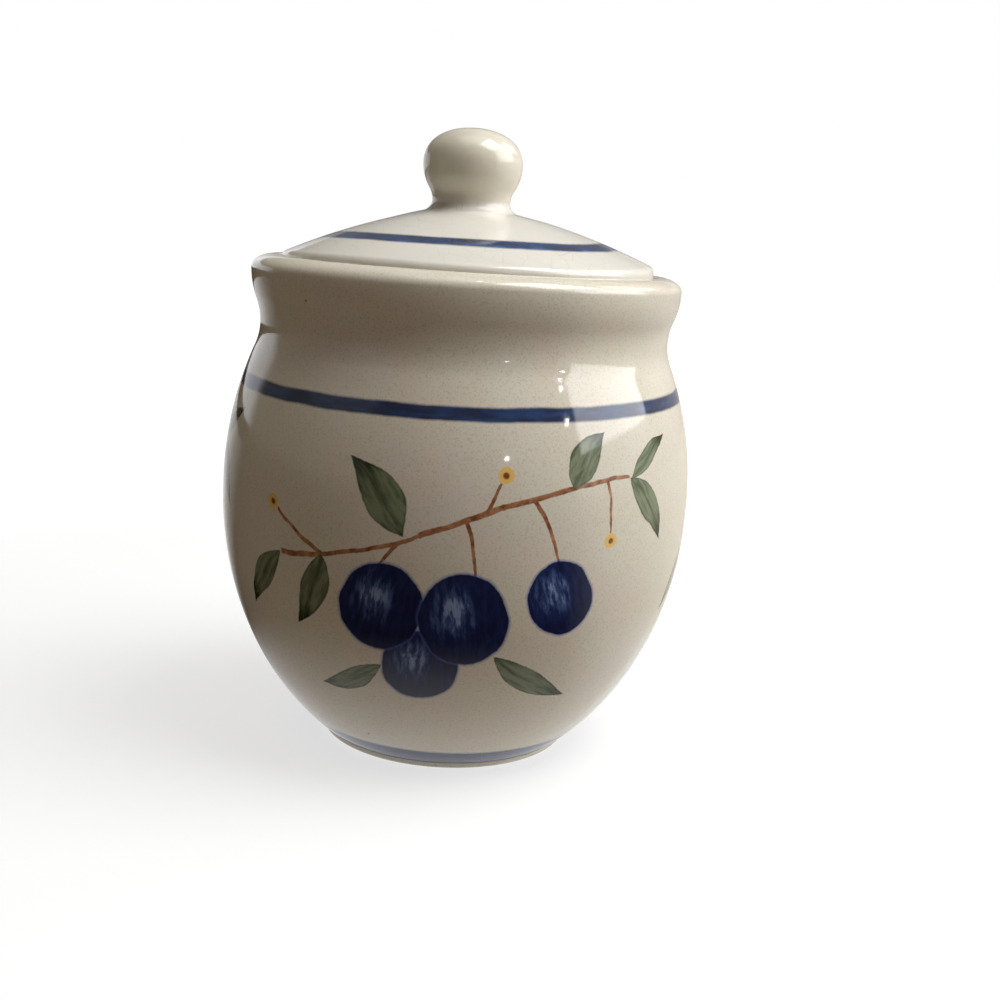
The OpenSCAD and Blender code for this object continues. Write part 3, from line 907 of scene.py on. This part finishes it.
def cardMaterial(name):
    # matt paint that may glow, both read from the card's own attributes, and clear under a mat's middle
    material = bpy.data.materials.new(name)
    material.use_nodes = True
    tree = material.node_tree
    tree.nodes.clear()
    paint, glow, reach = (addNode(tree, "ShaderNodeAttribute", attribute_name=key)
                          for key in ("paint", "glow", "reach"))
    matt = addNode(tree, "ShaderNodeBsdfDiffuse", {"Color": paint.outputs["Color"]})
    lit = addNode(tree, "ShaderNodeEmission", {"Color": glow.outputs["Color"], "Strength": 1.0})
    place = addNode(tree, "ShaderNodeTexCoord").outputs["Object"]
    away = addNode(tree, "ShaderNodeVectorMath", {0: place}, operation="LENGTH").outputs["Value"]
    past = combine(tree, "SUBTRACT", away, reach.outputs["Fac"])
    clear = addNode(tree, "ShaderNodeBsdfTransparent")
    painted = addNode(tree, "ShaderNodeAddShader", {0: matt, 1: lit})
    there = fade(tree, past, 0.0, matFade * mm)
    shown = addNode(tree, "ShaderNodeMixShader", {0: there, 1: clear, 2: painted})
    addNode(tree, "ShaderNodeOutputMaterial", {"Surface": shown})
    return material


def makeCard(look):
    # point(a, s) = (r(s) sin a, -r(s) cos a, z(s)), with a between the azimuths and s from 0 to 1
    stops = [stop[0] for stop in look["around"]]
    degrees = np.linspace(stops[0], stops[-1], int((stops[-1] - stops[0]) / 2) + 1)
    a = np.radians(degrees)[:, None]
    r = np.array([look["from"][0], look["to"][0]])[None, :] + 0 * a
    z = np.array([look["from"][1], look["to"][1]])[None, :] + 0 * a
    points = np.stack((r * np.sin(a), -r * np.cos(a), z), axis=-1).reshape(-1, 3) * mm
    i = 2 * np.arange(len(degrees) - 1)
    faces = np.column_stack((i, i + 1, i + 3, i + 2))
    mesh = bpy.data.meshes.new(look["name"])
    mesh.from_pydata(points.tolist(), [], faces.tolist())
    paints = [cardPaints[stop[1]] for stop in look["around"]]
    values = np.array([[*linear(paint)[:3], *(glow * np.array(linear(colour)[:3])), start * mm]
                       for paint, glow, colour, start in paints])
    blended = np.stack([np.interp(degrees, stops, column) for column in values.T], axis=1).repeat(2, axis=0)
    for key, columns in (("paint", slice(0, 3)), ("glow", slice(3, 6))):
        colours = np.column_stack((blended[:, columns], np.ones(len(blended))))
        mesh.attributes.new(key, "FLOAT_COLOR", "POINT").data.foreach_set("color", colours.ravel())
    reach = np.ascontiguousarray(blended[:, 6])
    mesh.attributes.new("reach", "FLOAT", "POINT").data.foreach_set("value", reach)
    mesh.materials.append(cardMaterial(look["name"]))
    card = bpy.data.objects.new(look["name"], mesh)
    card.visible_camera = False
    if look["to"][1] < 1:  # the mat only shows in reflections, and leaves the light on the floor as it is
        card.visible_shadow = False
        card.visible_diffuse = False
    scene.collection.objects.link(card)


def seenRays(tree):
    # 1 for what the camera sees, by itself or in a reflection or through glass
    path = addNode(tree, "ShaderNodeLightPath")
    seen = combine(tree, "MAXIMUM", path.outputs["Is Camera Ray"], path.outputs["Is Glossy Ray"])
    return combine(tree, "MAXIMUM", seen, path.outputs["Is Transmission Ray"])


def makeFloor(look):
    half = look["wide"] * mm / 2
    mesh = bpy.data.meshes.new("floor")
    corners = [(-half, -half, 0), (half, -half, 0), (half, half, 0), (-half, half, 0)]
    mesh.from_pydata(corners, [], [(0, 1, 2, 3)])
    floor = bpy.data.objects.new("floor", mesh)
    scene.collection.objects.link(floor)
    material = bpy.data.materials.new("matt_white_paper")
    material.use_nodes = True
    tree = material.node_tree
    tree.nodes.clear()
    place = addNode(tree, "ShaderNodeTexCoord").outputs["Object"]
    away = addNode(tree, "ShaderNodeVectorMath", {0: place}, operation="LENGTH").outputs["Value"]
    strength = fade(tree, away, look["near"] * mm, look["far"] * mm, look["nearGlow"], look["farGlow"])
    glow = addNode(tree, "ShaderNodeEmission", {"Color": "#ffffff", "Strength": strength})
    paper = addNode(tree, "ShaderNodeBsdfDiffuse", {"Color": look["paint"]})
    bounce = addNode(tree, "ShaderNodeBsdfDiffuse", {"Color": look["bounce"]})
    underfoot = addNode(tree, "ShaderNodeEmission", {"Color": "#ffffff", "Strength": fade(
        tree, away, 0.5 * look["footGlowTo"] * mm, look["footGlowTo"] * mm, look["footGlow"], 0.0)})
    bounce = addNode(tree, "ShaderNodeAddShader", {0: bounce, 1: underfoot})
    lit = addNode(tree, "ShaderNodeAddShader", {0: paper, 1: glow})
    mixed = addNode(tree, "ShaderNodeMixShader", {0: seenRays(tree), 1: bounce, 2: lit})
    addNode(tree, "ShaderNodeOutputMaterial", {"Surface": mixed})
    mesh.materials.append(material)


def makeWorld(roomLight):
    world = bpy.data.worlds.new("room")
    scene.world = world
    world.use_nodes = True
    tree = world.node_tree
    tree.nodes.clear()
    room = addNode(tree, "ShaderNodeBackground", {"Color": "#ffffff", "Strength": roomLight})
    white = addNode(tree, "ShaderNodeBackground", {"Color": "#ffffff", "Strength": 1.0})
    mixed = addNode(tree, "ShaderNodeMixShader", {0: seenRays(tree), 1: room, 2: white})
    addNode(tree, "ShaderNodeOutputWorld", {"Surface": mixed})


makeFloor(floorLook)
makeWorld(roomLight)
for card in cards:
    makeCard(card)
for lamp in lamps:
    makeLamp(lamp)
print("studio lit by", len(lamps), "lamps")
